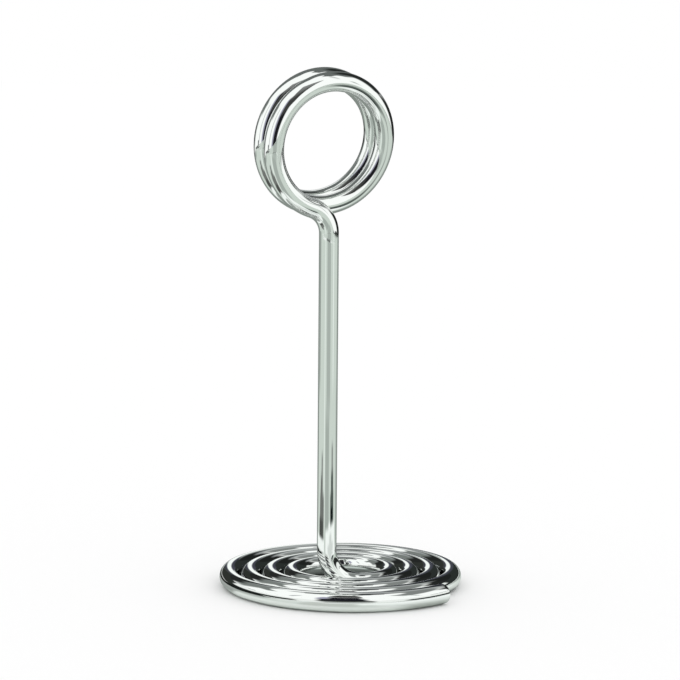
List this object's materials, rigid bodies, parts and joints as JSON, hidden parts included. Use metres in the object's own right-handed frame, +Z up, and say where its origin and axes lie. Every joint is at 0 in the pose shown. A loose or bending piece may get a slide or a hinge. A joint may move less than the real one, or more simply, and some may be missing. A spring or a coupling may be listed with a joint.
{
  "type": "table number stand",
  "caption": "Bent wire stand: a flat spiral base, a straight stem and a coiled ring at the top that grips a number card or menu card between its turns.",
  "frame": {"origin": "on the ground plane that the base rests on, under the middle of the stand's outline", "axes": "+Z up along the stem, the ring's front face looks along -Y and +X is to the right of it"},
  "size_m": [0.0482, 0.0502, 0.1015],
  "materials": {
    "plated_wire": "polished chrome plate on steel wire"
  },
  "bodies": {
    "root": {"stand_wire": "plated_wire"}
  },
  "joints": []
}
